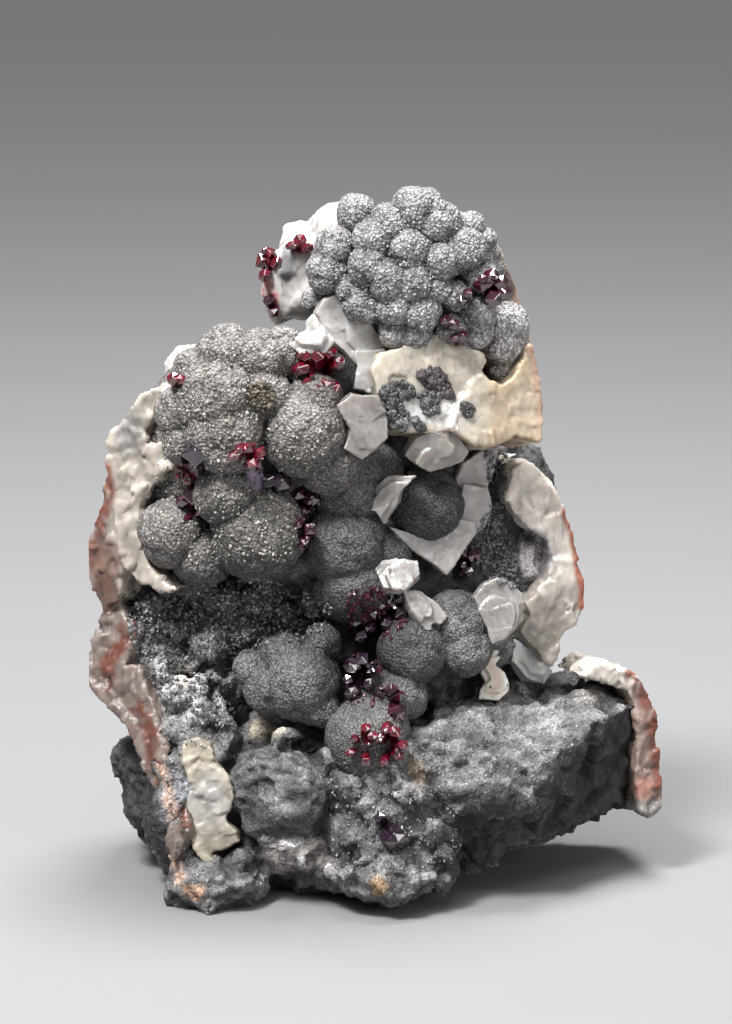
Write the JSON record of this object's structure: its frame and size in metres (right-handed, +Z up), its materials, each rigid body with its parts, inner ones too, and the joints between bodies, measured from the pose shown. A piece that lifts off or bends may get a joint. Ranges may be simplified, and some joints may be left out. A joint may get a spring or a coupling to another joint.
{
  "type": "proustite mineral specimen",
  "caption": "Hand specimen of dark rock with a ledge, carrying botryoidal grey arsenic, white and honey calcite and small deep red proustite crystals.",
  "frame": {"origin": "on the flat underside that the specimen rests on, below the middle of the tall back wall", "axes": "+Z up, -Y towards the front with the crystals, +X towards the end of the ledge"},
  "size_m": [0.0631, 0.041, 0.077],
  "materials": {
    "rock": "rough broken stone",
    "arsenic": "fine grained matte grey crust",
    "calcite": "translucent white crystal",
    "honey_calcite": "translucent cream crystal",
    "stained_calcite": "cream crystal with a rusty rim",
    "proustite": "bright deep red crystal"
  },
  "bodies": {
    "root": {"arsenic_crown": "arsenic", "arsenic_nodules_centre": "arsenic", "arsenic_nodules_left": "arsenic", "arsenic_nodules_right": "arsenic", "arsenic_nodules_upper": "arsenic", "arsenic_shoulder": "arsenic", "calcite_blade_arrow": "calcite", "calcite_blade_bright": "calcite", "calcite_blade_curved": "calcite", "calcite_blade_disc": "calcite", "calcite_blade_forked": "calcite", "calcite_blade_long": "calcite", "calcite_blade_low": "calcite", "calcite_blade_middle": "calcite", "calcite_blade_pointed": "calcite", "calcite_blade_round": "calcite", "calcite_crown_back": "calcite", "calcite_honey_wedge": "honey_calcite", "calcite_hook": "calcite", "calcite_ledge_rim": "stained_calcite", "calcite_left_top": "calcite", "calcite_left_vein": "stained_calcite", "calcite_lower_patch": "calcite", "calcite_right_wall": "calcite", "matrix_rock": "rock", "proustite_brown": "proustite", "proustite_chip_red": "proustite", "proustite_column": "proustite", "proustite_crown_bead": "proustite", "proustite_crown_left": "proustite", "proustite_crown_low": "proustite", "proustite_crown_right": "proustite", "proustite_crown_spark": "proustite", "proustite_crown_spot": "proustite", "proustite_crown_top": "proustite", "proustite_dark_lower": "proustite", "proustite_dark_side": "proustite", "proustite_dark_upper": "proustite", "proustite_deep_right": "proustite", "proustite_ledge_prism": "proustite", "proustite_pink": "proustite", "proustite_prism_dark": "proustite", "proustite_prism_red": "proustite", "proustite_ruby": "proustite", "proustite_seam": "proustite", "proustite_seam_low": "proustite", "proustite_shoulder_bit": "proustite", "proustite_spray_left": "proustite", "proustite_spray_right": "proustite", "proustite_tablet": "proustite"}
  },
  "joints": []
}
